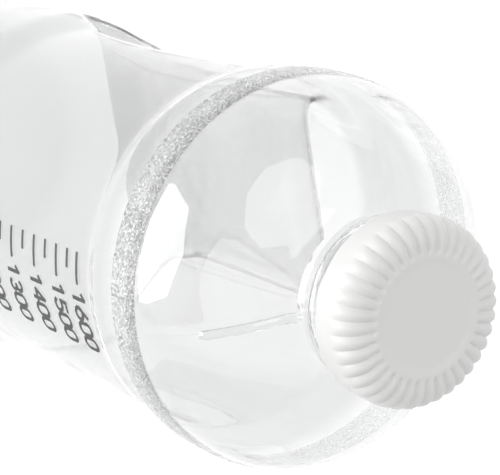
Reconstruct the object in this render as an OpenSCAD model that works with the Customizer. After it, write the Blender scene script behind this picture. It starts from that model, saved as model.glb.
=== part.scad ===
// Clear blow-moulded sports water jug with a moulded-in grip and a fluted screw cap.
// Millimetres, +Z up along the bottle axis, base on z = 0.
// The plain front panel faces -Y, the hollow grip is at +Y and its finger gap runs along X.

/* [Bottle body] */
// Radius of the lower body
lower_r = 57.3; // [54:0.1:62]
// Radius of the waisted front panel
panel_r = 54.5; // [53:0.1:56.5]
// Height at which the lower body ends
lower_top = 84; // [76:1:90]
// Height over which the lower body narrows to the panel
step_h = 22; // [14:1:26]
// Height at which the panel ends
panel_top = 197; // [191:1:202]
// Height over which the panel widens to the shoulder
shoulder_step = 12; // [8:1:14]
// Radius of the body under the textured band
shoulder_r = 57.7; // [56.5:0.1:62]
// Wall thickness of the bottle
wall = 1.6; // [1.2:0.1:2.2]

/* [Base] */
// Radius of the inner edge of the flat standing ring
foot_in = 40; // [36:0.5:42]
// Radius of the outer edge of the flat standing ring
foot_out = 47; // [44:0.5:49]
// Height of the rounded lower corner
corner_h = 45; // [30:1:60]
// Height of the push-up in the middle of the base
push_up = 9; // [5:0.5:12]

/* [Band and dome] */
// Height of the middle of the textured band
band_z = 224; // [220:1:232]
// Width of the textured band
band_w = 12.2; // [8:0.2:16]
// How far the band stands proud of the body
band_proud = 0.8; // [0.4:0.1:1.4]
// Height of the dome above its widest place
dome_h = 29; // [25:0.5:33]

/* [Neck] */
// Outer radius of the neck
neck_r = 22.3; // [21:0.1:22.8]
// Radius of the open mouth
mouth_r = 20.1; // [18.6:0.1:20.3]
// Radius of the fillet between dome and neck
neck_fillet = 5; // [3:0.5:6]
// Height of the neck from fillet to lip
neck_h = 22; // [20:0.5:28]
// How far the neck bead stands out
bead_proud = 2.2; // [1:0.1:2.6]
// Height of the neck bead
bead_h = 2.5; // [1.6:0.1:3]

/* [Grip] */
// Radius of the bowed wall on the body side of the finger gap
gap_bow = 150; // [135:1:200]
// Distance of that wall behind the axis at its deepest place
gap_in = 14.4; // [12:0.1:16]
// Distance of the grip's inner face behind the axis
gap_out = 36; // [34:0.5:38]
// Height of the lower end of the finger gap
gap_low = 82; // [80:1:96]
// Height of the upper end of the finger gap
gap_high = 188; // [176:1:189]
// Corner radius of the finger gap
gap_corner = 5; // [3:0.5:6]

/* [Cap] */
// Outer radius of the smooth cap skirt
cap_r = 26.6; // [26:0.1:28]
// How far the skirt reaches down from the neck lip
cap_cover = 11; // [9:0.5:13]
// Thickness of the cap's top wall
cap_top = 2.6; // [2.2:0.1:3.4]
// Clearance between neck and cap bore, which holds the thread
thread_room = 1.4; // [1.2:0.1:1.6]
// Radius of the rounded crown edge
crown_r = 7; // [5:0.5:7]
// Number of flutes round the crown
flutes = 38; // [24:1:44]
// Radius of each flute groove
flute_r = 1.25; // [1.1:0.05:1.4]
// Depth of each flute groove
flute_deep = 0.7; // [0.5:0.1:0.8]
// Radius of the plain disc inside the flutes
disc_r = 15.4; // [13:0.2:16]
// Depth of the plain disc below the flute crests
disc_deep = 0.5; // [0.3:0.1:0.8]
// Thickness of the sealing disc
liner_t = 1.4; // [1:0.1:2]
// Gap between the sealing disc and the cap bore
liner_gap = 0.3; // [0.2:0.1:0.5]

/* [Hidden] */
$fn = 96;
steps = 12;
clear = [0.88, 0.9, 0.9, 0.45];
// The dome starts at the upper edge of the band.
dome_z = band_z + band_w / 2;
// The fillet meets the dome on the slope that the dome has there.
fillet_c = neck_r + neck_fillet;
meet_r = fillet_c - neck_fillet * 0.25;
meet_z = dome_z + dome_h * sqrt(1 - pow(meet_r / shoulder_r, 2));
fillet_z = meet_z + neck_fillet * sqrt(1 - 0.0625);
lip_z = fillet_z + neck_h;
bead_z = lip_z - cap_cover - bead_h - 4.5;
bore_r = neck_r + thread_room;
liner_r = bore_r - liner_gap;
ceiling_z = lip_z + liner_t;
crest_z = ceiling_z + cap_top;
skirt_z = lip_z - cap_cover;
// Middle of the circle that the bowed gap wall follows.
bow_y = gap_in + gap_bow;
bow_z = (gap_low + gap_high) / 2 + 4;
big = 200;
// Heights at which the one moulding is parted into sections: under the grip, over it and at the neck.
grip_low = gap_low - wall - 1.4;
grip_high = gap_high + wall + 1.4;
neck_z = fillet_z;

// Height share of a quarter ellipse at share t of its width.
function quarter(t) = sqrt(max(0, 1 - t * t));
// Smooth step from 0 to 1.
function ease(t) = (1 - cos(180 * t)) / 2;
// Points of a circle from angle a to angle b.
function arc(cy, cz, r, a, b, n) = [for (i = [0:n])
    [cy + r * cos(a + (b - a) * i / n), cz + r * sin(a + (b - a) * i / n)]];
// Middle of a gap corner that touches an end at height z and the bowed wall.
function corner_y(z) = bow_y - sqrt(pow(gap_bow - gap_corner, 2) - pow(z - bow_z, 2));

// Half section of the body up to the band, set in by g, as radius and height.
function body_side(g) = concat(
    [[0, push_up + g]],
    [for (i = [1:steps]) [(foot_in + g) * i / steps, g + push_up * (1 + cos(180 * i / steps)) / 2]],
    [for (i = [0:steps]) let (t = i / steps)
        [foot_out + (lower_r - g - foot_out) * sin(90 * t), g + (corner_h - g) * (1 - cos(90 * t))]],
    [for (i = [0:steps]) let (t = i / steps)
        [lower_r - g + (panel_r - lower_r) * ease(t), lower_top + step_h * t]],
    [for (i = [0:steps]) let (t = i / steps)
        [panel_r - g + (shoulder_r - panel_r) * ease(t), panel_top + shoulder_step * t]]);

// Half section of the dome, set in by g.
function dome_side(g) = [for (i = [0:2 * steps])
    let (r = shoulder_r - (shoulder_r - meet_r) * sin(45 * i / steps))
        [r - g * (r - neck_r) / (shoulder_r - neck_r), dome_z + (dome_h - g) * quarter(r / shoulder_r)]];

// Half section of the proud band with eased edges.
function band_side() = [
    [shoulder_r, band_z - band_w / 2],
    [shoulder_r + band_proud, band_z - band_w / 2 + band_proud / 2],
    [shoulder_r + band_proud, band_z + band_w / 2 - band_proud / 2]];

// Half section of the whole outside, with the round bead under the cap.
module outside() {
    polygon(concat(body_side(0), band_side(), dome_side(0),
        arc(fillet_c, fillet_z, neck_fillet, 250, 180, steps),
        arc(neck_r + bead_proud - bead_h / 2, bead_z + bead_h / 2, bead_h / 2, -90, 90, 8),
        [[neck_r, bead_z + bead_h], [neck_r, lip_z], [0, lip_z]]));
}

// Half section of the hollow inside, open at the lip.
module inside() {
    polygon(concat(body_side(wall), dome_side(wall),
        arc(fillet_c, fillet_z, neck_fillet + wall, 248, 180, steps),
        [[mouth_r, fillet_z + 3], [mouth_r, lip_z + 1], [0, lip_z + 1]]));
}

// Half section of the middle of the wall, up to the foot of the neck.
module mid_wall() {
    polygon(concat(body_side(wall / 2), dome_side(wall / 2), [[0, meet_z - wall / 2]]));
}

// Side outline of the finger gap, grown by g: four round corners and one bowed wall.
module gap_outline(g) {
    zt = gap_high - gap_corner;
    zb = gap_low + gap_corner;
    yt = corner_y(zt);
    yb = corner_y(zb);
    at = atan2(zt - bow_z, yt - bow_y);
    ab = atan2(zb - bow_z, yb - bow_y) + 360;
    r = gap_corner + g;
    polygon(concat(
        arc(gap_out - gap_corner, zb, r, -90, 0, 6),
        arc(gap_out - gap_corner, zt, r, 0, 90, 6),
        arc(yt, zt, r, 90, at, 6),
        arc(bow_y, bow_z, gap_bow + g, at, ab, 2 * steps),
        arc(yb, zb, r, ab, 270, 6)));
}

// The finger gap through the body, grown by g.
module finger_gap(g) {
    rotate([90, 0, 90]) translate([0, 0, -big / 2]) linear_extrude(height = big) gap_outline(g);
}

// Plain blown body without the grip.
module blown_body() {
    rotate([0, 0, -90]) difference() {
        rotate_extrude() outside();
        rotate_extrude() inside();
    }
}

// The part of a form that lies between two heights.
module section(low, high) {
    intersection() {
        children();
        translate([0, 0, low]) cylinder(r = big / 2, h = high - low);
    }
}

module lower_body() {
    color(clear) section(-1, grip_low) blown_body();
}

// The grip is pressed in: its filled form joins the body and is then hollowed from outside.
module grip_body() {
    color(clear) difference() {
        union() {
            section(grip_low, grip_high) blown_body();
            intersection() {
                rotate([0, 0, -90]) rotate_extrude() mid_wall();
                finger_gap(wall);
            }
        }
        finger_gap(0);
    }
}

module shoulder() {
    color(clear) section(grip_high, neck_z) blown_body();
}

module neck() {
    color(clear) section(neck_z, lip_z + 1) blown_body();
}

// One flute: a ring-shaped groove that follows the rounded crown edge.
module flute() {
    translate([cap_r + 0.4 - crown_r, 0, crest_z - crown_r]) rotate([90, 0, 0])
        rotate([0, 0, -12]) rotate_extrude(angle = 122)
            translate([crown_r + flute_r - flute_deep, 0]) circle(r = flute_r, $fn = 24);
}

module cap() {
    color([0.95, 0.95, 0.94]) difference() {
        union() {
            translate([0, 0, skirt_z]) cylinder(r = cap_r, h = crest_z - crown_r - skirt_z + 2);
            rotate_extrude() intersection() {
                union() {
                    translate([cap_r + 0.4 - crown_r, crest_z - crown_r]) circle(r = crown_r);
                    translate([0, crest_z - crown_r]) square([cap_r + 0.4 - crown_r, crown_r]);
                }
                translate([0, crest_z - crown_r + 1]) square([cap_r + 2, crown_r]);
            }
        }
        translate([0, 0, skirt_z - 1]) cylinder(r = bore_r, h = ceiling_z - skirt_z + 1);
        translate([0, 0, crest_z - disc_deep]) cylinder(r = disc_r, h = 2);
        for (i = [0:flutes - 1]) rotate([0, 0, 360 * (i + 0.5) / flutes]) flute();
    }
}

module cap_liner() {
    color([0.8, 0.82, 0.84]) translate([0, 0, lip_z]) cylinder(r = liner_r, h = liner_t);
}

lower_body();
grip_body();
shoulder();
neck();
cap();
cap_liner();
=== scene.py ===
"""Clear sports water jug: smooth blown bottle with a pressed-in grip, fluted screw cap, plain studio.
Shapes are worked out in millimetres and stored in metres. The jug stands upright on z = 0."""
import math

import bpy
import numpy as np
from mathutils import Matrix, Vector


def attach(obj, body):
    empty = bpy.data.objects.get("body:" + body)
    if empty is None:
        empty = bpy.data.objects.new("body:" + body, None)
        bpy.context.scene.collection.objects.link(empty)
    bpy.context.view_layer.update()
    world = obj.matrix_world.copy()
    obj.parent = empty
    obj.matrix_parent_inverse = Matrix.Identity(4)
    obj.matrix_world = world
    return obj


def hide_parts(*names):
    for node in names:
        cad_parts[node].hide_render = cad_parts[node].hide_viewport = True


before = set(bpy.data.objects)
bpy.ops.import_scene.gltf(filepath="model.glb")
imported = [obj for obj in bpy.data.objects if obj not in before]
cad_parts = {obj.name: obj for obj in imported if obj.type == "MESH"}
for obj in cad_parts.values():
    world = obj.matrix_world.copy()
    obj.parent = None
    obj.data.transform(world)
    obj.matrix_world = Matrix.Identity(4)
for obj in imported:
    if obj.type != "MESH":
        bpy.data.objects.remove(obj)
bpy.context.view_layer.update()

MM = 0.001
TAU = 2 * math.pi

# Sizes of the part's solids, in millimetres
LOWER_R, PANEL_R, SHOULDER_R = 57.3, 54.5, 57.7
LOWER_TOP, STEP_H, PANEL_TOP, SHOULDER_STEP = 84.0, 22.0, 197.0, 12.0
FOOT_IN, FOOT_OUT, CORNER_H, PUSH_UP = 40.0, 47.0, 45.0, 9.0
BAND_Z, BAND_W, BAND_PROUD, DOME_H = 224.0, 12.2, 0.8, 29.0
NECK_R, MOUTH_R, FILLET, NECK_H = 22.3, 20.1, 5.0, 22.0
BEAD_PROUD, BEAD_H, BEAD_DROP = 2.2, 2.5, 4.5
GAP_BOW, GAP_IN, GAP_OUT = 150.0, 14.4, 36.0
GAP_LOW, GAP_HIGH, GAP_CORNER = 82.0, 188.0, 5.0
CAP_R, CAP_FLARE, CAP_COVER, CAP_TOP, THREAD_ROOM = 26.6, 0.4, 11.0, 2.6, 1.4
CROWN_R, FLUTES, DISC_R, DISC_DEEP, LINER_T = 7.0, 38, 15.4, 0.5, 1.4

# Sizes that only the visual model has: the drawn wall, the rounding of the grip's edges, the climb of the
# thread in one turn, the depth of the flutes and the seam ridge on the dome
SKIN, ROUNDING, LEAD, FLUTE_SINK = 0.6, 10.0, 6.0, 1.1
RIDGE_LOW, RIDGE_HALF, RIDGE_PROUD, RIDGE_X = 246.0, 1.5, 0.6, -0.8
CELL = 1.7
INNER_CELL = CELL * 1.12

# Heights and radii that follow from them
DOME_Z = BAND_Z + BAND_W / 2
FILLET_C = NECK_R + FILLET
MEET_R = FILLET_C - FILLET * 0.25
MEET_Z = DOME_Z + DOME_H * math.sqrt(1 - (MEET_R / SHOULDER_R) ** 2)
FILLET_Z = MEET_Z + FILLET * math.sqrt(1 - 0.0625)
LIP_Z = FILLET_Z + NECK_H
BEAD_Z = LIP_Z - CAP_COVER - BEAD_H - BEAD_DROP
SKIRT_Z = LIP_Z - CAP_COVER
CEIL_Z = LIP_Z + LINER_T
CREST_Z = CEIL_Z + CAP_TOP
BORE_R = NECK_R + THREAD_ROOM
CUT_Z = FILLET_Z - 2.4
BOW_Y, BOW_Z = GAP_IN + GAP_BOW, (GAP_LOW + GAP_HIGH) / 2 + 4


# Tools for meshes
def mesh_object(name, verts, faces, smooth=True):
    """Mesh from an array of points in millimetres and an array of faces that all have as many corners."""
    mesh = bpy.data.meshes.new(name)
    mesh.vertices.add(len(verts))
    mesh.vertices.foreach_set("co", (np.asarray(verts, np.float32) * MM).ravel())
    mesh.loops.add(faces.size)
    mesh.loops.foreach_set("vertex_index", np.asarray(faces, np.int32).ravel())
    mesh.polygons.add(len(faces))
    mesh.polygons.foreach_set("loop_start", np.arange(0, faces.size, faces.shape[1], dtype=np.int32))
    mesh.polygons.foreach_set("use_smooth", np.full(len(faces), smooth))
    mesh.update(calc_edges=True)
    mesh.validate()
    obj = bpy.data.objects.new(name, mesh)
    bpy.context.collection.objects.link(obj)
    return obj


def grid_quads(rows, cols, close_rows=False):
    """Quads of a grid of points that closes on itself along its columns."""
    i = np.arange(rows if close_rows else rows - 1)[:, None]
    j = np.arange(cols)[None, :]
    a, b = i * cols + j, i * cols + (j + 1) % cols
    up = ((i + 1) % rows) * cols
    return np.stack([a, b, up + (j + 1) % cols, up + j], -1).reshape(-1, 4)


def fan_quads(first, cols, centre, up):
    """Quads that close a ring of points with one point in its middle."""
    j = np.arange(0, cols, 2)
    ring = [first + j, first + (j + 1) % cols, first + (j + 2) % cols]
    return np.stack([np.full(len(j), centre)] + (ring if up else ring[::-1]), 1)


def ring_angles(cols):
    """Even angles round the axis."""
    return np.arange(cols) * TAU / cols


def turned(r, z):
    """Points of rings about the axis, from radius and height on a grid of rows and angles."""
    angle = ring_angles(r.shape[1])
    return np.stack([r * np.cos(angle), r * np.sin(angle), z], -1).reshape(-1, 3)


def bent_round_front(across, r, z):
    """Points at a distance across the front, measured round the axis at radius r, and a height."""
    return np.stack([r * np.sin(across / r), -r * np.cos(across / r), z], -1).reshape(-1, 3)


def arc(cx, cy, r, a, b, n):
    """Points of a circle from angle a to angle b, in degrees."""
    t = np.radians(np.linspace(a, b, n))
    return np.stack([cx + r * np.cos(t), cy + r * np.sin(t)], 1)


def level_line(low, high, n, z):
    """Points of a straight line at one height, from one radius to another."""
    return np.stack([np.linspace(low, high, n), np.full(n, z)], 1)


def ease(v, low, high):
    """Smooth step from 0 at one value to 1 at another: three t squared less two t cubed."""
    t = np.clip((v - low) / (high - low), 0, 1)
    return t * t * (3 - 2 * t)


# The blown bottle
def side_profile():
    """Half section of the bottle as radius and height: cosine push-up, quarter-ellipse corner,
    cosine steps to and from the panel, elliptic dome and a round fillet into the neck."""
    t = np.linspace(0, 1, 48)
    swing = (1 - np.cos(math.pi * t)) / 2
    r = SHOULDER_R - (SHOULDER_R - MEET_R) * np.sin(math.pi / 2 * np.linspace(0, 1, 90))
    above = LIP_Z + 20
    return np.concatenate([
        np.stack([FOOT_IN * t, PUSH_UP * (1 + np.cos(math.pi * t)) / 2], 1),
        np.stack([FOOT_OUT + (LOWER_R - FOOT_OUT) * np.sin(math.pi / 2 * t),
                  CORNER_H * (1 - np.cos(math.pi / 2 * t))], 1),
        np.stack([LOWER_R + (PANEL_R - LOWER_R) * swing, LOWER_TOP + STEP_H * t], 1),
        np.stack([PANEL_R + (SHOULDER_R - PANEL_R) * swing, PANEL_TOP + SHOULDER_STEP * t], 1),
        np.stack([r, DOME_Z + DOME_H * np.sqrt(1 - (r / SHOULDER_R) ** 2)], 1),
        arc(FILLET_C, FILLET_Z, FILLET, 254, 180, 16),
        [[NECK_R, above], [0, above]]])


def gap_profile():
    """Side outline of the finger gap as distance behind the axis and height: a bowed wall towards the body,
    a straight one on the grip, and four round corners that touch them."""
    top, low = GAP_HIGH - GAP_CORNER, GAP_LOW + GAP_CORNER
    corner_y = [BOW_Y - math.sqrt((GAP_BOW - GAP_CORNER) ** 2 - (z - BOW_Z) ** 2) for z in (top, low)]
    top_turn = math.degrees(math.atan2(top - BOW_Z, corner_y[0] - BOW_Y))
    low_turn = math.degrees(math.atan2(low - BOW_Z, corner_y[1] - BOW_Y)) + 360
    return np.concatenate([
        arc(GAP_OUT - GAP_CORNER, low, GAP_CORNER, -90, 0, 8),
        arc(GAP_OUT - GAP_CORNER, top, GAP_CORNER, 0, 90, 8),
        arc(corner_y[0], top, GAP_CORNER, 90, top_turn, 8),
        arc(BOW_Y, BOW_Z, GAP_BOW, top_turn, low_turn, 60),
        arc(corner_y[1], low, GAP_CORNER, low_turn, 270, 8)])


class Outline:
    """Signed distance to a closed outline, kept on a fine grid and read back by bilinear steps. A line on the
    axis doesn't count."""

    def __init__(self, pts, lo, hi, step=0.5):
        self.lo, self.step = np.array(lo, float), step
        n = np.ceil((np.array(hi) - lo) / step).astype(int) + 1
        gx, gy = (lo[k] + step * np.arange(n[k]) for k in (0, 1))
        p = np.stack(np.meshgrid(gx, gy, indexing="ij"), -1)
        best = np.full(p.shape[:2], 1e9)
        inside = np.zeros(p.shape[:2], bool)
        for a, b in zip(pts, np.roll(pts, -1, 0)):
            d = b - a
            if d @ d < 1e-12 or a[0] == 0 == b[0]:
                continue
            t = np.clip(((p - a) @ d) / (d @ d), 0, 1)
            best = np.minimum(best, np.hypot(p[..., 0] - a[0] - t * d[0], p[..., 1] - a[1] - t * d[1]))
            if a[1] != b[1]:
                over = (a[1] > p[..., 1]) != (b[1] > p[..., 1])
                inside ^= over & (p[..., 0] < a[0] + d[0] * (p[..., 1] - a[1]) / d[1])
        self.table = np.where(inside, -best, best)

    def __call__(self, x, y):
        u, v = (x - self.lo[0]) / self.step, (y - self.lo[1]) / self.step
        i = np.clip(u.astype(int), 0, self.table.shape[0] - 2)
        j = np.clip(v.astype(int), 0, self.table.shape[1] - 2)
        u, v, t = np.clip(u - i, 0, 1), np.clip(v - j, 0, 1), self.table
        low = t[i, j] * (1 - u) + t[i + 1, j] * u
        high = t[i, j + 1] * (1 - u) + t[i + 1, j + 1] * u
        return low * (1 - v) + high * v


PROFILE = side_profile()
body_side = Outline(PROFILE, (-4, -8), (66, 272))
gap_side = Outline(gap_profile(), (-66, -8), (66, 272))


def blend_min(a, b, k):
    """Smaller of two distances with a round joint of size k."""
    h = np.clip(0.5 + 0.5 * (b - a) / k, 0, 1)
    return b + (a - b) * h - k * h * (1 - h)


def bottle_field(p):
    """Distance to the bottle's outside: the turned body with the finger gap taken out of it, all edges
    rounded over as blown plastic is."""
    x, y, z = p[..., 0], p[..., 1], p[..., 2]
    body = body_side(np.hypot(x, y), z)
    return -blend_min(-body, gap_side(y, z), ROUNDING)


def field_slope(p, h):
    """Slope of the distance field by differences over a length of two h."""
    step = [bottle_field(p + h * v) - bottle_field(p - h * v) for v in np.eye(3)]
    return np.stack(step, -1) / (2 * h)


def surface_cells(f):
    """Grid cells that the zero level of f crosses, their numbers on the grid, and in each cell the mean of the
    places where the level crosses the cell's edges, counted in cells."""
    ins = f < 0
    nx, ny, nz = (n - 1 for n in f.shape)
    corners = [(i, j, k) for i in (0, 1) for j in (0, 1) for k in (0, 1)]
    n_in = sum(ins[i:nx + i, j:ny + j, k:nz + k].astype(np.int8) for i, j, k in corners)
    cell = np.argwhere((n_in > 0) & (n_in < len(corners)))
    index = np.full(n_in.shape, -1, np.int64)
    index[tuple(cell.T)] = np.arange(len(cell))
    total, count = np.zeros((len(cell), 3)), np.zeros(len(cell))
    for corner in np.array(corners):
        for along in np.eye(3, dtype=int)[corner == 0]:
            fa, fb = f[tuple((cell + corner).T)], f[tuple((cell + corner + along).T)]
            hit = (fa < 0) != (fb < 0)
            t = np.where(hit, fa / np.where(hit, fa - fb, 1), 0)
            total += hit[:, None] * (corner + t[:, None] * along)
            count += hit
    return cell, index, cell + total / count[:, None]


def surface_quads(ins, index):
    """One quad round each grid edge that the surface crosses, through the points of the four cells there."""
    quads, one = [], np.eye(3, dtype=int)
    for axis in range(3):
        b, d = (axis + 1) % 3, (axis + 2) % 3
        low, high = [slice(None)] * 3, [slice(None)] * 3
        low[axis], high[axis] = slice(0, -1), slice(1, None)
        e = np.argwhere(ins[tuple(low)] != ins[tuple(high)])
        e = e[(e[:, b] > 0) & (e[:, d] > 0) & (e[:, b] < ins.shape[b] - 1) & (e[:, d] < ins.shape[d] - 1)]
        ring = [e - one[b] - one[d], e - one[d], e, e - one[b]]
        q = np.stack([index[tuple(r.T)] for r in ring], 1)
        quads.append(np.where(ins[tuple(e.T)][:, None], q, q[:, ::-1]))
    quads = np.concatenate(quads)
    return quads[(quads >= 0).all(1)]


def neighbour_mean(values, edges, count):
    """Mean of the three values of each point's neighbours."""
    total = [np.bincount(edges[:, 0], values[edges[:, 1], k], len(values)) for k in range(3)]
    return np.stack(total, 1) / count[:, None]


def level_mesh(level, step):
    """Quad mesh of the surface where the field has the given level, open at the foot of the neck. Each grid
    cell that the surface crosses gets one point, which is then evened out and put on the surface by steps
    along the field's slope. Also gives smoothed normals, the radius of the open rim, and the volume below
    each height of the grid with those heights."""
    half_width, below = 60.5, 3
    even_rounds, last_rounds, even_share = 6, 3, 0.6
    nx = int(math.ceil(half_width / step)) * 2 + 1
    nz = int(math.ceil((CUT_Z + below) / step)) + 1
    ax = step * (np.arange(nx) - (nx - 1) / 2)
    az = CUT_Z - step * (nz - 1 - np.arange(nz))
    p = np.stack(np.meshgrid(ax, ax, az, indexing="ij"), -1)
    f = np.stack([bottle_field(slab) for slab in p]) - level
    cell, index, pos = surface_cells(f)
    pos = pos * step + [ax[0], ax[0], az[0]]
    quads = surface_quads(f < 0, index)
    rim = cell[:, 2] == nz - 2
    edges = np.concatenate([quads[:, [k, (k + 1) % 4]] for k in range(4)])
    count = np.maximum(np.bincount(edges[:, 0], minlength=len(pos)), 1)
    for done in range(even_rounds + last_rounds):
        if done < even_rounds:
            mean = neighbour_mean(pos, edges, count)
            pos = np.where(rim[:, None], pos, pos + even_share * (mean - pos))
        slope = field_slope(pos, 0.4)
        miss = bottle_field(pos) - level
        pos = pos - (miss / np.maximum((slope * slope).sum(-1), 0.2))[:, None] * slope
        pos[rim, 2] = CUT_Z
    rim_r = float(np.hypot(pos[rim, 0], pos[rim, 1]).mean())
    normal = field_slope(pos, 0.9)
    for _ in range(4):
        normal = 0.5 * normal + 0.5 * neighbour_mean(normal, edges, count)
    normal /= np.linalg.norm(normal, axis=1)[:, None]
    return pos, quads, normal, rim_r, np.cumsum((f < 0).sum((0, 1))) * step ** 3, az


out_pos, out_quads, out_normal, out_rim, _, _ = level_mesh(0.0, CELL)
in_pos, in_quads, in_normal, in_rim, filled, filled_z = level_mesh(-SKIN, INNER_CELL)
shell = mesh_object("bottle_shell", np.concatenate([out_pos, in_pos]),
                    np.concatenate([out_quads, in_quads[:, ::-1] + len(out_pos)]))
shell.data.normals_split_custom_set_from_vertices(np.concatenate([out_normal, -in_normal]))
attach(shell, "bottle")
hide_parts("lower_body", "grip_body", "shoulder")


# Neck, band and ridge of the bottle
def thread_height(angle, z, low, turns, half):
    """Height share of a helical ridge at an angle and height: a rounded bump that climbs one lead a turn
    and fades out at both ends."""
    fade_turns, steepness = 0.06, 1.6
    best = np.zeros(np.broadcast(angle, z).shape)
    for k in range(-1, int(turns) + 2):
        turn = angle / TAU + k
        off = np.abs(z - low - LEAD * turn) / half
        ends = np.clip(turn / fade_turns, 0, 1) * np.clip((turns - turn) / fade_turns, 0, 1)
        best = np.maximum(best, ends * np.clip(steepness * (1 - off), 0, 1))
    return best * best * (3 - 2 * best)


def neck_mesh():
    """Neck ring: fillet, bead, threaded outside, round lip and plain bore, turned about the axis."""
    cols, bead_fillet, lip_round = 288, 0.8, 0.7
    thread_proud, thread_low, thread_turns, thread_half = 1.05, SKIRT_Z - 1.2, 1.6, 1.5
    up = np.concatenate([
        [[out_rim, CUT_Z]],
        arc(FILLET_C, FILLET_Z, FILLET, 208, 180, 6)[1:],
        arc(NECK_R + bead_fillet, BEAD_Z - bead_fillet, bead_fillet, 180, 90, 5),
        arc(NECK_R + BEAD_PROUD - BEAD_H / 2, BEAD_Z + BEAD_H / 2, BEAD_H / 2, -90, 90, 12),
        arc(NECK_R + bead_fillet, BEAD_Z + BEAD_H + bead_fillet, bead_fillet, 270, 180, 5)])
    wall = np.stack([np.full(60, NECK_R), np.linspace(up[-1, 1], LIP_Z - lip_round, 61)[1:]], 1)
    lip = np.concatenate([arc(NECK_R - lip_round, LIP_Z - lip_round, lip_round, 0, 90, 6)[1:],
                          arc(MOUTH_R + lip_round, LIP_Z - lip_round, lip_round, 90, 180, 6)])
    flare = MOUTH_R + 0.4
    down = np.array([[MOUTH_R, LIP_Z - 6], [MOUTH_R, FILLET_Z + 5], [MOUTH_R + 0.1, FILLET_Z + 2],
                     [flare, FILLET_Z + 0.5], [0.5 * (flare + in_rim), FILLET_Z - 1.2], [in_rim, CUT_Z]])
    prof = np.concatenate([up, wall, lip, down])
    r = np.repeat(prof[:, :1], cols, 1)
    z = np.repeat(prof[:, 1:], cols, 1)
    on_wall = slice(len(up), len(up) + len(wall))
    r[on_wall] += thread_proud * thread_height(ring_angles(cols)[None, :], z[on_wall], thread_low,
                                               thread_turns, thread_half)
    return mesh_object("bottle_neck", turned(r, z), grid_quads(len(prof), cols))


neck = neck_mesh()
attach(neck, "bottle")
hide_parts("neck")


def band_mesh():
    """Proud ring with a sandy stipple: the outer face is pushed in and out by a smoothed seeded noise, and its
    two edges are rounded."""
    cols, rows, edge, grain_height = 960, 34, 0.8, 0.09
    rng = np.random.default_rng(7)
    half, out = BAND_W / 2 - 0.02, SHOULDER_R + BAND_PROUD - 0.05
    heights = np.linspace(BAND_Z - half, BAND_Z + half, rows)
    grain = rng.standard_normal((rows, cols))
    for axis in (0, 1):
        grain = (np.roll(grain, 1, axis) + 2 * grain + np.roll(grain, -1, axis)) / 4
    fade = np.clip((half - np.abs(heights - BAND_Z)) / edge, 0, 1)[:, None]
    grain = grain_height * grain / grain.std() * fade
    face = np.clip(out - 0.2 - 0.5 * (1 - np.sqrt(1 - (1 - fade) ** 2)) + grain, 0, out)
    foot = np.full((1, cols), SHOULDER_R + 0.04)
    r = np.concatenate([foot, face, foot])
    z = np.repeat(np.concatenate([heights[:1], heights, heights[-1:]])[:, None], cols, 1)
    return mesh_object("bottle_band", turned(r, z), grid_quads(rows + 2, cols, close_rows=True))


band = band_mesh()
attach(band, "bottle")


def ridge_mesh():
    """Narrow moulded ridge on the parting line of the dome, from a round end up to the foot of the neck: its
    section is a parabola raised to a power, carried along the dome's profile."""
    end_length, fade_length, clear_of_dome = 4, 5, 0.05
    path = PROFILE[(PROFILE[:, 1] > RIDGE_LOW) & (PROFILE[:, 1] < CUT_Z - 0.3)]
    along = np.concatenate([[0], np.cumsum(np.hypot(*np.diff(path, axis=0).T))])
    s = np.concatenate([np.linspace(0, end_length, 24), np.linspace(end_length, along[-1], 60)[1:]])
    mid = np.stack([np.interp(s, along, path[:, k]) for k in (0, 1)], 1)
    lean = np.gradient(mid, s, axis=0)
    normal = np.stack([lean[:, 1], -lean[:, 0]], 1) / np.hypot(*lean.T)[:, None]
    wide = RIDGE_HALF * np.sqrt(1 - np.clip(1 - (s + 0.01) / RIDGE_HALF, 0, 1) ** 2)
    tall = RIDGE_PROUD * ease(s, -0.4, 1.6) * ease(s, along[-1], along[-1] - fade_length)
    top = np.linspace(-1, 1, 19)
    t = np.concatenate([top, np.linspace(1, -1, 7)[1:-1]])
    lift = np.concatenate([(1 - top ** 2) ** 1.1, np.zeros(5)])
    off = clear_of_dome + tall[:, None] * lift
    r, z = (mid[:, k:k + 1] + normal[:, k:k + 1] * off for k in (0, 1))
    v = bent_round_front(RIDGE_X + wide[:, None] * t, r, z)
    return mesh_object("seam_ridge", v, grid_quads(len(s), len(t))[:, ::-1])


ridge = ridge_mesh()
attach(ridge, "bottle")


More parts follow.
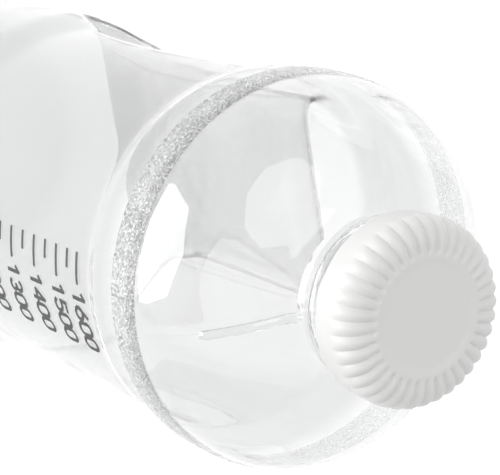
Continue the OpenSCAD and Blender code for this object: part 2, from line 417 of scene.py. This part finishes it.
# The cap
def cap_mesh():
    """Cap as one closed turned form: threaded bore, plain skirt, crown edge rounded over, radial flutes
    sunk between round ribs along the normal of the section, and a plain disc in the middle."""
    pole_r, rim_in, rim_out, slope_half, plain_rows = 0.8, 0.4, 0.5, 1.6, 4
    thread_proud, thread_low, thread_turns, thread_half = 0.75, SKIRT_Z + 1.8, 1.2, 1.1
    flute_cols, flute_shape = 16, 0.8
    edge_r, edge_z, disc_z = CAP_R + CAP_FLARE - CROWN_R, CREST_Z - CROWN_R, CREST_Z - DISC_DEEP
    ceiling = level_line(pole_r, BORE_R - 0.3, 10, CEIL_Z)
    inner = np.stack([np.full(56, BORE_R), np.linspace(CEIL_Z - 0.01, SKIRT_Z + rim_in, 56)], 1)
    rim = np.concatenate([arc(BORE_R + rim_in, SKIRT_Z + rim_in, rim_in, 180, 270, 5)[1:],
                          arc(CAP_R - rim_out, SKIRT_Z + rim_out, rim_out, 270, 360, 6)])
    skirt = np.stack([np.linspace(CAP_R, CAP_R + CAP_FLARE, 14) - 0.01,
                      np.linspace(SKIRT_Z + 0.9, edge_z - 0.3, 14)], 1)
    crown = arc(edge_r, edge_z, CROWN_R, 0, 90, 40)
    flat = level_line(edge_r, DISC_R + slope_half, 12, CREST_Z)[1:]
    fall = np.linspace(0.1, 0.9, 7)
    slope = np.stack([DISC_R + slope_half - 2 * slope_half * fall, CREST_Z - DISC_DEEP * ease(fall, 0, 1)], 1)
    disc = level_line(DISC_R - 1.7, pole_r, 14, disc_z)
    prof = np.concatenate([ceiling, inner, rim, skirt, crown, flat, slope, disc])

    first = len(ceiling) + len(inner) + len(rim) + plain_rows
    last = first + len(skirt) - plain_rows + len(crown) + len(flat)
    t = np.linspace(0, 1, last - first)
    depth = np.zeros(len(prof))
    depth[first:last] = FLUTE_SINK * ease(t, 0.07, 0.42) * ease(1 - t, -0.02, 0.10)
    lean = np.concatenate([np.zeros(len(skirt) - plain_rows), np.radians(np.linspace(0, 90, len(crown))),
                           np.full(len(flat), math.pi / 2)])
    normal = np.zeros((len(prof), 2))
    normal[first:last] = np.stack([np.cos(lean), np.sin(lean)], 1)
    cols = FLUTES * flute_cols
    angle = ring_angles(cols)
    wave = 1 - np.abs(np.sin(angle * FLUTES / 2)) ** flute_shape
    sink = depth[:, None] * wave[None, :]
    r = prof[:, :1] - normal[:, :1] * sink
    z = prof[:, 1:] - normal[:, 1:] * sink
    bore = slice(len(ceiling), len(ceiling) + len(inner))
    r[bore] -= thread_proud * thread_height(angle[None, :], z[bore], thread_low, thread_turns, thread_half)
    v = turned(r, z)
    faces = [grid_quads(len(prof), cols), fan_quads(0, cols, len(v), False),
             fan_quads((len(prof) - 1) * cols, cols, len(v) + 1, True)]
    poles = [[0, 0, CEIL_Z], [0, 0, disc_z]]
    return mesh_object("cap_shell", np.concatenate([v, poles]), np.concatenate(faces))


cap = cap_mesh()
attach(cap, "cap")
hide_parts("cap")


# The scale on the panel
def bowl(height, r, a, b):
    """Arc of a figure, round the middle of its cell."""
    return arc(0.3, height, r, a, b, 12)


# Strokes of the figures, each in a cell 0.6 wide and 1 high
FIGURES = {
    "0": [np.concatenate([bowl(0.7, 0.3, 0, 180), bowl(0.3, 0.3, 180, 360), [[0.6, 0.7]]])],
    "1": [np.array([[0.08, 0.78], [0.34, 1.0], [0.34, 0.0]])],
    "2": [np.concatenate([bowl(0.7, 0.3, 160, -35), [[0.02, 0.0], [0.6, 0.0]]])],
    "3": [np.concatenate([bowl(0.74, 0.26, 150, -90), bowl(0.24, 0.26, 90, -150)])],
    "4": [np.array([[0.46, 0.0], [0.46, 1.0], [0.0, 0.3], [0.64, 0.3]])],
    "5": [np.concatenate([[[0.55, 1.0], [0.1, 1.0], [0.06, 0.52]], bowl(0.3, 0.3, 128, -150)])],
    "6": [bowl(0.3, 0.3, 0, 360), np.array([[0.03, 0.38], [0.42, 1.0]])],
    "7": [np.array([[0.0, 1.0], [0.6, 1.0], [0.2, 0.0]])],
    "8": [bowl(0.75, 0.25, 0, 360), bowl(0.26, 0.28, 0, 360)],
    "9": [bowl(0.7, 0.3, 0, 360), np.array([[0.57, 0.62], [0.18, 0.0]])],
}


def stroke(a, b, width):
    """Narrow strip from one point of the panel to another, bent round it, with ends a little past them."""
    proud, piece, past = 0.05, 0.8, 0.3
    length = np.linalg.norm(b - a)
    along = (b - a) / length
    side = np.array([-along[1], along[0]]) * width / 2
    n = max(2, int(length / piece) + 2)
    share = np.linspace(0, 1, n)[:, None]
    mid = a - along * width * past + share * (b - a + along * width * 2 * past)
    across, up = np.stack([mid - side, mid + side], 1).reshape(-1, 2).T
    k = 2 * np.arange(n - 1)
    return bent_round_front(across, PANEL_R + proud, up), np.stack([k, k + 2, k + 3, k + 1], 1)


def scale_mesh():
    """Generic scale on the front panel: one tick for each 50 ml of the inside up to that height, and a plain
    figure in millilitres for each 100 ml."""
    high, bold, most_ml = 6.4, 1.3, 2000
    tick_start, tick_short, tick_long = -15, -10, -6
    figure_start, figure_step, clear = -3.4, 5.0, 2
    low, top = LOWER_TOP + STEP_H, PANEL_TOP
    lines = []
    for ml in range(0, most_ml, 50):
        z = float(np.interp(ml * 1000.0, filled, filled_z))
        whole = ml % 100 == 0
        if not low + clear < z < top - clear:
            continue
        lines.append(np.array([[tick_start, z], [tick_long if whole else tick_short, z]], float))
        if whole and low <= z - high / 2 and z + high / 2 <= top:
            for k, figure in enumerate(str(ml)):
                corner = np.array([figure_start + figure_step * k, z - high / 2])
                lines += [corner + line * high for line in FIGURES[figure]]
    strips = [stroke(a, b, bold) for line in lines for a, b in zip(line, line[1:])]
    starts = np.cumsum([0] + [len(v) for v, _ in strips])
    return mesh_object("panel_scale", np.concatenate([v for v, _ in strips]),
                       np.concatenate([q + start for (_, q), start in zip(strips, starts)]))


scale = scale_mesh()
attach(scale, "bottle")


# Tools for materials
class Nodes:
    """A node tree with short ways to add to it."""

    def __init__(self, tree):
        self.tree = tree

    def set(self, made, values=None, links=None):
        """Give a node's inputs plain values or links from other nodes' outputs."""
        for key, value in (values or {}).items():
            made.inputs[key].default_value = value
        for key, socket in (links or {}).items():
            self.tree.links.new(socket, made.inputs[key])

    def add(self, kind, values=None, links=None, **settings):
        """New node with settings, values and links."""
        made = self.tree.nodes.new(kind)
        for key, value in settings.items():
            setattr(made, key, value)
        self.set(made, values, links)
        return made

    def maths(self, operation, *terms, clamp=False):
        """One Math node whose terms are numbers or sockets."""
        made = self.add("ShaderNodeMath", operation=operation, use_clamp=clamp)
        for k, term in enumerate(terms):
            if isinstance(term, (int, float)):
                self.set(made, {k: term})
            else:
                self.set(made, links={k: term})
        return made.outputs[0]

    def product(self, first, *others):
        """All the sockets or numbers multiplied."""
        for other in others:
            first = self.maths("MULTIPLY", first, other)
        return first

    def ramp(self, value, low, high, to_low=0.0, to_high=1.0):
        """Smooth step of a socket's value from one number to another."""
        return self.add("ShaderNodeMapRange", {1: low, 2: high, 3: to_low, 4: to_high}, {0: value},
                        interpolation_type="SMOOTHSTEP").outputs[0]

    def ramp_mm(self, value, low, high, to_low=0.0, to_high=1.0):
        """Smooth step between two places given in millimetres."""
        return self.ramp(value, low * MM, high * MM, to_low, to_high)

    def bump(self, height, strength, distance):
        """Normal of a bumped surface."""
        return self.add("ShaderNodeBump", {"Strength": strength, "Distance": distance},
                        {"Height": height}).outputs[0]

    def mix(self, share, dark, light):
        """Colour between two plain colours."""
        return self.add("ShaderNodeMix", {6: dark, 7: light}, {0: share}, data_type="RGBA").outputs[2]

    def only(self, kind):
        """The tree's one node of a kind."""
        return next(n for n in self.tree.nodes if n.type == kind)


def grey(level):
    """Opaque neutral colour."""
    return (level, level, level, 1)


def new_finish(name):
    """Material with one Principled shader; returns it with its nodes, its shader and the Object coordinates."""
    mat = bpy.data.materials.new(name)
    mat.use_nodes = True
    nodes = Nodes(mat.node_tree)
    return mat, nodes, nodes.only("BSDF_PRINCIPLED"), nodes.add("ShaderNodeTexCoord").outputs["Object"]


def new_group(name, inputs, outputs):
    """Shader node group with named sockets; returns its nodes, what it is given and its output node."""
    group = bpy.data.node_groups.new(name, "ShaderNodeTree")
    for side, sockets in (("INPUT", inputs), ("OUTPUT", outputs)):
        for label, kind in sockets.items():
            group.interface.new_socket(name=label, in_out=side, socket_type="NodeSocket" + kind)
    nodes = Nodes(group)
    return nodes, nodes.add("NodeGroupInput").outputs, nodes.add("NodeGroupOutput")


def noise_in_group(nodes, given):
    """Noise of a group, from the group's own place, scale, detail and softness."""
    pairs = {"Vector": "Place", "Scale": "Scale", "Detail": "Detail", "Roughness": "Softness"}
    made = nodes.add("ShaderNodeTexNoise", links={key: given[label] for key, label in pairs.items()})
    return made.outputs["Fac"]


NOISE_INPUTS = {"Place": "Vector", "Scale": "Float", "Detail": "Float", "Softness": "Float"}


def mottle_group():
    """Two close tints mixed by a noise, with that noise as a second output."""
    nodes, given, out = new_group("mottle", {**NOISE_INPUTS, "Dark": "Color", "Light": "Color"},
                                  {"Color": "Color", "Noise": "Float"})
    noise = noise_in_group(nodes, given)
    tint = nodes.add("ShaderNodeMix", links={0: noise, 6: given["Dark"], 7: given["Light"]}, data_type="RGBA")
    nodes.set(out, links={"Color": tint.outputs[2], "Noise": noise})
    return nodes.tree


def grain_group():
    """Fine noise as a height, and a roughness that goes from one value to another as the noise goes from Low
    to High."""
    nodes, given, out = new_group(
        "grain", {**NOISE_INPUTS, "Low": "Float", "High": "Float", "At Low": "Float", "At High": "Float"},
        {"Roughness": "Float", "Height": "Float"})
    noise = noise_in_group(nodes, given)
    rough = nodes.add("ShaderNodeMapRange", links={0: noise, 1: given["Low"], 2: given["High"],
                                                   3: given["At Low"], 4: given["At High"]},
                      interpolation_type="SMOOTHSTEP")
    nodes.set(out, links={"Roughness": rough.outputs[0], "Height": noise})
    return nodes.tree


MOTTLE, GRAIN = mottle_group(), grain_group()


def mottle(nodes, place, scale, detail, dark, light, softness=0.5):
    """The mottle group in a material: its colour and its noise."""
    made = nodes.add("ShaderNodeGroup", node_tree=MOTTLE)
    nodes.set(made, {"Scale": scale, "Detail": detail, "Softness": softness, "Dark": dark, "Light": light},
              {"Place": place})
    return made.outputs["Color"], made.outputs["Noise"]


def grain(nodes, place, scale, detail, low, high, at_low, at_high, softness=0.5):
    """The grain group in a material: its roughness and its height."""
    made = nodes.add("ShaderNodeGroup", node_tree=GRAIN)
    nodes.set(made, {"Scale": scale, "Detail": detail, "Softness": softness, "Low": low, "High": high,
                     "At Low": at_low, "At High": at_high}, {"Place": place})
    return made.outputs["Roughness"], made.outputs["Height"]


def pass_light(nodes, shader, thin, tone=None):
    """Let shadow rays through a clear piece, and the given share of all rays straight through, in a tone."""
    straight = nodes.add("ShaderNodeBsdfTransparent", links={"Color": tone} if tone else None)
    surface = nodes.add("ShaderNodeMixShader", links={0: thin, 1: shader.outputs[0], 2: straight.outputs[0]})
    shadow = nodes.add("ShaderNodeBsdfTransparent", {"Color": (0.955, 0.96, 0.96, 1)})
    ray = nodes.add("ShaderNodeLightPath").outputs["Is Shadow Ray"]
    mix = nodes.add("ShaderNodeMixShader", links={0: ray, 1: surface.outputs[0], 2: shadow.outputs[0]})
    nodes.set(nodes.only("OUTPUT_MATERIAL"), links={"Surface": mix.outputs[0]})


# Finishes
def between(nodes, value, rise, risen, fall, fallen):
    """1 between two edges and 0 outside them, by places in millimetres."""
    return nodes.product(nodes.ramp_mm(value, rise, risen), nodes.ramp_mm(value, fall, fallen, 1.0, 0.0))


def clear_finish(name, bend):
    """Clear blown plastic: full transmission with a faint grey tint, slow waves in the wall and the mould's
    parting line down the dome. A thin wall bends light little, so its index is low and its gloss is a coat.
    The walls of the finger gap pass part of the light straight on. Below the band the tint is darkened as painted
    shade, and on the grip's wall it is lifted to clear white as painted light."""
    mat, nodes, shader, place = new_finish(name)
    x, y, z = nodes.add("ShaderNodeSeparateXYZ", links={0: place}).outputs
    tint, waves = mottle(nodes, place, 26.0, 2.0, (0.930, 0.933, 0.934, 1), (0.944, 0.946, 0.947, 1), 0.45)
    rough, _ = grain(nodes, place, 900.0, 2.0, 0.2, 0.8, 0.004, 0.03)

    aside = nodes.maths("ABSOLUTE", nodes.maths("SUBTRACT", x, RIDGE_X * MM))
    line = nodes.product(nodes.ramp_mm(aside, 0.2, 0.7, 1.0, 0.0), nodes.ramp_mm(y, -12, -16),
                         nodes.ramp_mm(z, 230, 232))
    height = nodes.maths("ADD", nodes.product(waves, 0.5), nodes.product(line, 0.06))
    normal = nodes.bump(height, 1.0, 0.001)

    bow = nodes.maths("POWER", nodes.maths("SUBTRACT", z, BOW_Z * MM), 2.0)
    past_bow = nodes.maths("SUBTRACT", y, nodes.maths("MULTIPLY_ADD", bow, 0.5 / (GAP_BOW * MM), GAP_IN * MM))
    across = nodes.product(nodes.ramp_mm(past_bow, -6, -1), nodes.ramp_mm(y, GAP_OUT + 1, GAP_OUT + 7, 1.0, 0.0))
    gap_wall = nodes.product(across, between(nodes, z, GAP_LOW - 8, GAP_LOW - 3, GAP_HIGH + 3, GAP_HIGH + 7))
    grip_wall = nodes.product(between(nodes, z, GAP_LOW + 1, GAP_LOW + 9, GAP_HIGH - 9, GAP_HIGH - 1),
                              nodes.ramp_mm(y, GAP_OUT - 7, GAP_OUT - 2))
    # Painted light: the grip's wall is tinted clear white, lighter than the rest of the same plastic, and less so
    # on its outer part.
    painted_light_grip = nodes.product(grip_wall, nodes.ramp_mm(y, GAP_OUT + 5, GAP_OUT + 9, 1.0, 0.65))
    # Painted shade: the same plastic's tint is scaled down to 0.83 below the band, so the panel reads greyer than
    # the dome.
    painted_shade_below_band = nodes.ramp_mm(z, BAND_Z - 18, BAND_Z - 4, 0.83, 1.0)
    tint = nodes.add("ShaderNodeVectorMath", links={0: tint, 3: painted_shade_below_band}, operation="SCALE").outputs[0]
    tint = nodes.add("ShaderNodeMix", {7: grey(1)}, {0: painted_light_grip, 6: tint}, data_type="RGBA").outputs[2]

    nodes.set(shader, {"Transmission Weight": 1.0, "IOR": bend, "Coat IOR": 1.45, "Coat Roughness": 0.015},
              {"Base Color": tint, "Roughness": rough, "Normal": normal, "Coat Normal": normal,
               "Coat Weight": nodes.maths("MULTIPLY_ADD", gap_wall, -0.7, 1.0)})
    # The straight light's tone is lifted to white on the grip's wall, part of the same painted light.
    pass_light(nodes, shader, nodes.product(gap_wall, 0.7), nodes.ramp(grip_wall, 0.0, 1.0, 0.915, 1.0))
    return mat


def stipple_finish():
    """Stippled clear plastic: half frosted, with a fine salt-and-pepper speckle. Its light and shade are painted
    by the side towards the key light: on the front left the speckle is strongest and the tone palest, and towards
    the back the speckle fades, the tone is painted darker and more light passes straight through."""
    mat, nodes, shader, place = new_finish("clear_stipple")
    rough, spots = grain(nodes, place, 1300.0, 1.0, 0.3, 0.7, 0.35, 0.2, 0.6)
    patch = nodes.add("ShaderNodeTexNoise", {"Scale": 150.0, "Detail": 2.0}, {"Vector": place}).outputs["Fac"]
    x, y, _ = nodes.add("ShaderNodeSeparateXYZ", links={0: place}).outputs
    # This direction runs towards the side box, the key light; the speckle's contrast, the tone and the straight
    # share below change along it as painted light and shade.
    front = nodes.maths("MULTIPLY_ADD", x, -0.55, nodes.product(y, -0.83))
    # The speckle depth is a real patchy noise, painted stronger towards the key light and faint away from it.
    deep = nodes.product(nodes.ramp(patch, 0.35, 0.65, 0.72, 0.45), nodes.ramp_mm(front, 5, 45, 0.15, 1.0))
    # Painted light and shade: the band's tone is 0.94 on the side towards the key light and 0.80 on the side away
    # from it.
    pale = nodes.ramp_mm(front, -20, 5, 0.80, 0.94)
    dark = nodes.product(pale, nodes.maths("SUBTRACT", 1.0, deep))
    level = nodes.add("ShaderNodeMapRange", {1: 0.0, 2: 1.0},
                      {0: nodes.ramp(spots, 0.40, 0.54), 3: dark, 4: pale}).outputs[0]
    tint = nodes.add("ShaderNodeCombineColor", links={0: level, 1: level, 2: nodes.product(level, 1.01)})
    nodes.set(shader, {"Transmission Weight": 0.86, "IOR": 1.12, "Coat Weight": 0.6, "Coat Roughness": 0.15},
              {"Base Color": tint.outputs[0], "Roughness": rough, "Normal": nodes.bump(spots, 0.5, 0.0002)})
    # More light passes straight through on the back, away from the key light, part of the same painted light and
    # shade.
    pass_light(nodes, shader, nodes.ramp_mm(front, -5, 45, 0.6, 0.22))
    return mat


def white_finish():
    """Satin white moulded plastic with a fine even grain and slight mottling."""
    mat, nodes, shader, place = new_finish("white_plastic")
    tint, _ = mottle(nodes, place, 60.0, 4.0, (0.822, 0.822, 0.814, 1), (0.852, 0.852, 0.845, 1))
    rough, height = grain(nodes, place, 1400.0, 2.0, 0.2, 0.8, 0.38, 0.52)
    nodes.set(shader, {"Subsurface Weight": 0.15, "Subsurface Radius": (0.002, 0.002, 0.002)},
              {"Base Color": tint, "Roughness": rough, "Normal": nodes.bump(height, 0.25, 0.0001)})
    return mat


def seal_finish():
    """Pale foamed sealing disc with fine pores."""
    mat, nodes, shader, place = new_finish("seal")
    pores = nodes.add("ShaderNodeTexVoronoi", {"Scale": 1500.0}, {"Vector": place}).outputs["Distance"]
    nodes.set(shader, {"Roughness": 0.7},
              {"Base Color": nodes.mix(pores, (0.6, 0.62, 0.64, 1), (0.76, 0.78, 0.8, 1)),
               "Normal": nodes.bump(pores, 0.4, 0.0002)})
    return mat


def ink_finish():
    """Dark grey printed ink with slight unevenness."""
    mat, nodes, shader, place = new_finish("print_ink")
    tint, _ = mottle(nodes, place, 400.0, 3.0, (0.035, 0.035, 0.037, 1), (0.055, 0.055, 0.057, 1))
    nodes.set(shader, {"Roughness": 0.55}, {"Base Color": tint})
    return mat


def floor_finish():
    """Matt pale floor, lifted by a little light of its own."""
    mat, nodes, shader, place = new_finish("floor")
    tint, _ = mottle(nodes, place, 40.0, 2.0, grey(0.93), grey(0.95))
    nodes.set(shader, {"Roughness": 0.9, "Specular IOR Level": 0.0, "Emission Color": grey(1),
                       "Emission Strength": 0.48}, {"Base Color": tint})
    return mat


def assign(obj, mat):
    """Give an object one material."""
    obj.data.materials.clear()
    obj.data.materials.append(mat)


thin_clear = clear_finish("clear_wall", 1.13)
assign(shell, thin_clear)
assign(ridge, thin_clear)
assign(neck, clear_finish("clear_thick", 1.2))
assign(band, stipple_finish())
assign(cap, white_finish())
assign(scale, ink_finish())
bpy.data.objects["cap_liner"].material_slots[0].material = seal_finish()

# Camera at the photograph's viewing angle: its right, up and forward directions and its place
CAMERA_RIGHT = (0.14452, 0.82290, 0.54949)
CAMERA_UP = (-0.93515, 0.29511, -0.19599)
CAMERA_AHEAD = (0.32344, 0.48553, -0.81219)
CAMERA_AT = (-0.23454, -0.34460, BAND_Z * MM + 0.55372)
camera = bpy.data.objects.new("camera", bpy.data.cameras.new("camera"))
bpy.context.collection.objects.link(camera)
camera.matrix_world = Matrix([(r, u, -a, p) for r, u, a, p in
                              zip(CAMERA_RIGHT, CAMERA_UP, CAMERA_AHEAD, CAMERA_AT)] + [(0, 0, 0, 1)])
camera.data.sensor_width = 36.0
camera.data.lens = 172.8
camera.data.clip_end = 20.0
bpy.context.scene.camera = camera

# Pale floor and soft studio light
FLOOR_HALF, FLOOR_Z = 3000, -0.5
floor = mesh_object("floor", np.array([[x * FLOOR_HALF, y * FLOOR_HALF, FLOOR_Z]
                                       for x, y in ((-1, -1), (1, -1), (1, 1), (-1, 1))]),
                    np.array([[0, 1, 2, 3]]), smooth=False)
assign(floor, floor_finish())


def studio_world():
    """White surroundings for what is seen, mirrored or seen through, greyer overhead, and half as much light."""
    world = bpy.data.worlds.new("studio")
    world.use_nodes = True
    nodes = Nodes(world.node_tree)
    ray = nodes.add("ShaderNodeLightPath").outputs
    seen = nodes.maths("ADD", ray["Is Camera Ray"], ray["Is Glossy Ray"])
    seen = nodes.maths("ADD", seen, ray["Is Transmission Ray"], clamp=True)
    way = nodes.add("ShaderNodeTexCoord").outputs["Generated"]
    up = nodes.add("ShaderNodeSeparateXYZ", links={0: way}).outputs[2]
    sky = nodes.mix(nodes.ramp(up, 0.05, 0.75), grey(1), (0.68, 0.68, 0.685, 1))
    lit = nodes.add("ShaderNodeMix", {6: grey(0.54)}, {0: seen, 7: sky}, data_type="RGBA")
    nodes.set(nodes.only("BACKGROUND"), links={"Color": lit.outputs[2]})
    return world


bpy.context.scene.world = studio_world()


def softbox(name, at, to, corners, strength, gloss):
    """Flat emitter with the given corners in metres at a place in metres, facing a point; reflections of it
    are stronger than its light by the gloss factor, and it isn't seen through clear pieces."""
    edge_share = 0.82
    rim = np.concatenate([np.asarray(corners, float), np.zeros((len(corners), 1))], 1) / MM
    obj = mesh_object(name, rim, np.arange(len(corners))[None, :], smooth=False)
    obj.location = at
    obj.rotation_euler = (Vector(to) - Vector(at)).to_track_quat("Z", "Y").to_euler()
    mat, nodes, shader, place = new_finish(name)
    far = nodes.add("ShaderNodeVectorMath", links={0: place}, operation="LENGTH").outputs["Value"]
    fall = nodes.ramp(far, 0.0, float(np.abs(rim).max()) * MM, 1.0, edge_share)
    ray = nodes.add("ShaderNodeLightPath").outputs
    glint = nodes.maths("MULTIPLY_ADD", ray["Is Glossy Ray"], gloss - 1.0, 1.0)
    nodes.set(shader, {"Base Color": (0, 0, 0, 1), "Emission Color": grey(1)},
              {"Emission Strength": nodes.product(fall, glint, strength)})
    nothing = nodes.add("ShaderNodeBsdfTransparent").outputs[0]
    mix = nodes.add("ShaderNodeMixShader", links={0: ray["Is Transmission Ray"], 1: shader.outputs[0], 2: nothing})
    nodes.set(nodes.only("OUTPUT_MATERIAL"), links={"Surface": mix.outputs[0]})
    assign(obj, mat)
    obj.visible_camera = False


AIM = (0, 0, 0.22)
softbox("side_box", (-0.105, -0.260, 0.22), AIM,
        [(0.157, -0.215), (0.150, -0.103), (0.109, 0.103), (0.003, 0.166), (-0.100, 0.098), (-0.131, -0.090),
         (-0.150, -0.215)], 2.6, 4.0)
softbox("overhead", (-0.46, 0.12, 1.40), AIM, arc(0, 0, 0.42, 22.5, 337.5, 8), 3.2, 1.3)

bpy.context.scene.view_settings.view_transform = "Standard"
bpy.context.view_layer.update()
